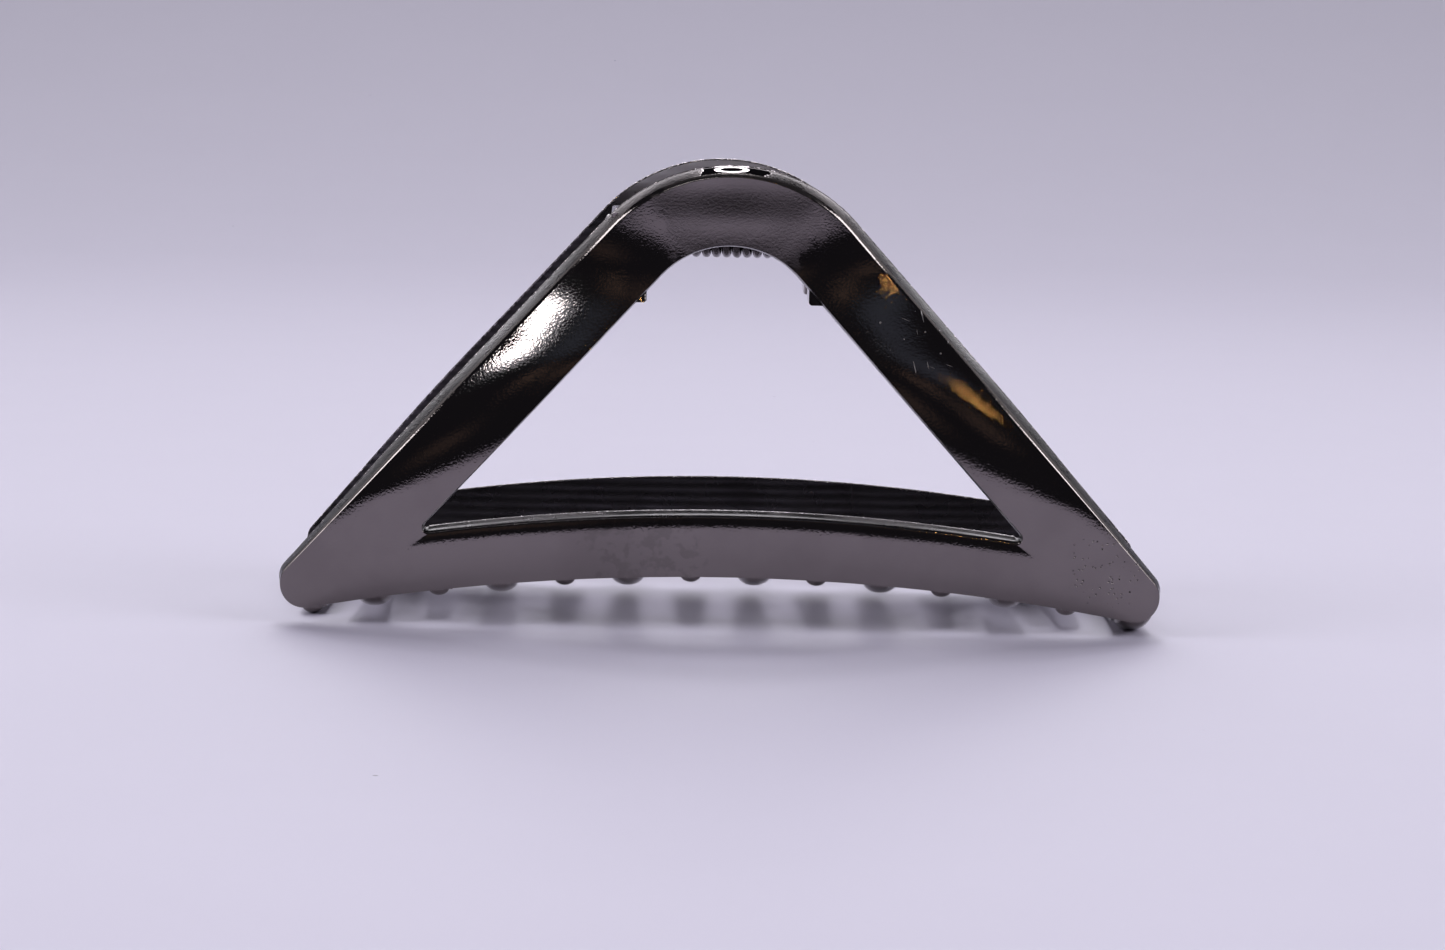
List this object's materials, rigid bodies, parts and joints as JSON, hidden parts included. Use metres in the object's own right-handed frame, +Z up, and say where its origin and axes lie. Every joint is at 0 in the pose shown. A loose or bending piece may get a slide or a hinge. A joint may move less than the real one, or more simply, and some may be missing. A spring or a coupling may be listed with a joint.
{
  "type": "claw hair clip",
  "caption": "Metal claw clip for hair: two matching open triangular jaws with inward teeth, hinged on a pin near the apex and held shut by a torsion spring.",
  "frame": {"origin": "centre of the bounding box on the surface the clip stands on, at the undersides of its lowest teeth", "axes": "+X along the clip's length and along the hinge pin, +Y from the front jaw to the rear jaw, +Z up towards the finger handles"},
  "size_m": [0.0896, 0.0326, 0.0463],
  "materials": {
    "plated_casting": "mirror-polished black nickel plate",
    "pin_steel": "plated steel, slightly dull",
    "spring_steel": "dark plated spring wire"
  },
  "bodies": {
    "front": {"front_jaw": "plated_casting", "hinge_pin": "pin_steel", "torsion_spring": "spring_steel"},
    "rear": {"rear_jaw": "plated_casting"}
  },
  "joints": [
    {"name": "jaw_hinge", "type": "hinge", "parent": "front", "child": "rear", "pos_m": [0, 0, 0.0394], "axis": [1, 0, 0], "range_deg": [0, 50], "stiffness_Nm_per_rad": 0.12, "springref_deg": -20.05, "deforming": ["torsion_spring"]}
  ]
}
